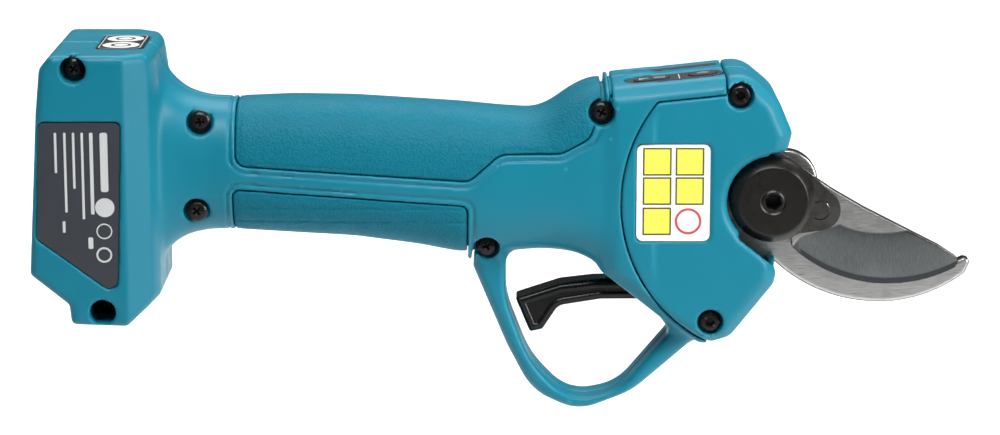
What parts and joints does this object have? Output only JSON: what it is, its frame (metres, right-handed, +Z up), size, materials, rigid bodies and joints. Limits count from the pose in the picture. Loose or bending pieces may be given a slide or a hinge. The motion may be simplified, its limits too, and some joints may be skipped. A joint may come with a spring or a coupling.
{
  "type": "cordless pruning shears",
  "caption": "Battery electric pruner with a curved bypass blade, finger guard, trigger, pebbled grip and an open cradle for a slide-on battery.",
  "frame": {"origin": "centre of the battery seat's flat face, level with the blade pivot", "axes": "+X forward along the tool to the blade tip, +Z up, -Y is the side with the pivot cap and the plates"},
  "size_m": [0.2768, 0.055, 0.1099],
  "materials": {
    "casing": "moulded glass-filled nylon, fine matt texture",
    "grip": "pebbled soft elastomer",
    "black_plastic": "satin moulded nylon",
    "plate_grey": "printed film on a plate, satin",
    "white_label": "printed vinyl sticker",
    "black_steel": "black oxide",
    "dark_steel": "blued steel",
    "blade_steel": "ground blade steel",
    "gear_steel": "machined and oiled",
    "brass": "bare",
    "aluminium": "machined",
    "board": "solder resist",
    "magnet": "nickel plated",
    "lead": "insulation"
  },
  "bodies": {
    "casing": {"housing_left": "casing", "housing_right": "casing", "head_cover_left": "casing", "head_cover_right": "casing", "grip_upper_left": "grip", "grip_upper_right": "grip", "grip_lower_left": "grip", "grip_lower_right": "grip", "rating_plate": "plate_grey", "safety_label": "white_label", "roof_label": "white_label", "control_panel": "plate_grey", "status_strip": "plate_grey", "casing_screw_1": "black_steel", "casing_screw_2": "black_steel", "casing_screw_3": "black_steel", "casing_screw_4": "black_steel", "casing_screw_5": "black_steel", "casing_screw_6": "black_steel", "cover_screw_1": "black_steel", "cover_screw_2": "black_steel", "hook_screw": "black_steel", "pivot_bolt": "black_steel", "pivot_nut": "dark_steel", "hook_blade": "blade_steel", "trigger_pin": "dark_steel", "trigger_spring": "gear_steel", "sensor_board": "board", "key_board": "board", "controller_board": "board", "ring_gear": "gear_steel", "bearing_holder": "aluminium", "output_bearing": "gear_steel", "stator": "gear_steel", "motor_can": "black_steel", "motor_end_bell": "aluminium", "terminal_block": "black_plastic", "contact_positive": "brass", "contact_negative": "brass", "motor_lead_u": "lead", "motor_lead_v": "lead", "motor_lead_w": "lead"},
    "rotor": {"rotor": "magnet", "sun_gear_1": "gear_steel"},
    "carrier_1": {"carrier_1": "gear_steel"},
    "output": {"output_shaft": "gear_steel", "bevel_pinion": "gear_steel"},
    "planet_1_a": {"planet_1_a": "gear_steel"},
    "planet_1_b": {"planet_1_b": "gear_steel"},
    "planet_1_c": {"planet_1_c": "gear_steel"},
    "planet_2_a": {"planet_2_a": "gear_steel"},
    "planet_2_b": {"planet_2_b": "gear_steel"},
    "planet_2_c": {"planet_2_c": "gear_steel"},
    "blade": {"moving_blade": "blade_steel", "drive_lever": "dark_steel", "drive_pin": "dark_steel", "pivot_bush": "brass"},
    "trigger": {"trigger": "black_plastic"},
    "power_button": {"power_button": "plate_grey"},
    "mode_button": {"mode_button": "plate_grey"}
  },
  "joints": [
    {"name": "rotor_spin", "type": "hinge", "parent": "casing", "child": "rotor", "pos_m": [0.12364, 0, 0.00457], "axis": [0.9982, 0, -0.0593], "range_deg": [0, 5265]},
    {"name": "carrier_1_spin", "type": "hinge", "parent": "casing", "child": "carrier_1", "pos_m": [0.13791, 0, 0.00372], "axis": [0.9982, 0, -0.0593], "range_deg": [0, 1170.01]},
    {"name": "output_spin", "type": "hinge", "parent": "casing", "child": "output", "pos_m": [0.15109, 0, 0.00294], "axis": [0.9982, 0, -0.0593], "range_deg": [0, 260.01]},
    {"name": "planet_1_a_spin", "type": "hinge", "parent": "carrier_1", "child": "planet_1_a", "pos_m": [0.13442, -0.00743, 0.00393], "axis": [0.9982, 0, -0.0593], "range_deg": [-3276.01, 0]},
    {"name": "planet_1_b_spin", "type": "hinge", "parent": "carrier_1", "child": "planet_1_b", "pos_m": [0.13404, 0.00371, -0.00249], "axis": [0.9982, 0, -0.0593], "range_deg": [-3276.01, 0]},
    {"name": "planet_1_c_spin", "type": "hinge", "parent": "carrier_1", "child": "planet_1_c", "pos_m": [0.1348, 0.00371, 0.01035], "axis": [0.9982, 0, -0.0593], "range_deg": [-3276.01, 0]},
    {"name": "planet_2_a_spin", "type": "hinge", "parent": "output", "child": "planet_2_a", "pos_m": [0.14759, -0.00743, 0.00315], "axis": [0.9982, 0, -0.0593], "range_deg": [-728.02, 0]},
    {"name": "planet_2_b_spin", "type": "hinge", "parent": "output", "child": "planet_2_b", "pos_m": [0.14721, 0.00371, -0.00327], "axis": [0.9982, 0, -0.0593], "range_deg": [-728.02, 0]},
    {"name": "planet_2_c_spin", "type": "hinge", "parent": "output", "child": "planet_2_c", "pos_m": [0.14797, 0.00371, 0.00957], "axis": [0.9982, 0, -0.0593], "range_deg": [-728.02, 0]},
    {"name": "blade_open", "type": "hinge", "parent": "casing", "child": "blade", "pos_m": [0.2006, 0, 0], "axis": [0, -1, 0], "range_deg": [0, 52]},
    {"name": "trigger_pull", "type": "hinge", "parent": "casing", "child": "trigger", "pos_m": [0.169, 0, -0.0265], "axis": [0, 1, 0], "range_deg": [0, 13], "stiffness_Nm_per_rad": 0.03, "springref_deg": -20.05, "deforming": ["trigger_spring"]},
    {"name": "mode_press", "type": "slide", "parent": "casing", "child": "mode_button", "axis": [0.1065, 0, -0.9943], "range_m": [0, 0.0006], "stiffness_N_per_m": 400, "springref_m": -0.0006},
    {"name": "power_press", "type": "slide", "parent": "casing", "child": "power_button", "axis": [0.1065, 0, -0.9943], "range_m": [0, 0.0006], "stiffness_N_per_m": 400, "springref_m": -0.0006}
  ],
  "couplings": [
    {"joint": "carrier_1_spin", "follows": "rotor_spin", "ratio": 0.22222},
    {"joint": "output_spin", "follows": "rotor_spin", "ratio": 0.049383},
    {"joint": "planet_1_a_spin", "follows": "rotor_spin", "ratio": -0.62222},
    {"joint": "planet_1_b_spin", "follows": "rotor_spin", "ratio": -0.62222},
    {"joint": "planet_1_c_spin", "follows": "rotor_spin", "ratio": -0.62222},
    {"joint": "planet_2_a_spin", "follows": "rotor_spin", "ratio": -0.13827},
    {"joint": "planet_2_b_spin", "follows": "rotor_spin", "ratio": -0.13827},
    {"joint": "planet_2_c_spin", "follows": "rotor_spin", "ratio": -0.13827},
    {"joint": "blade_open", "follows": "rotor_spin", "ratio": 0.0098765}
  ]
}
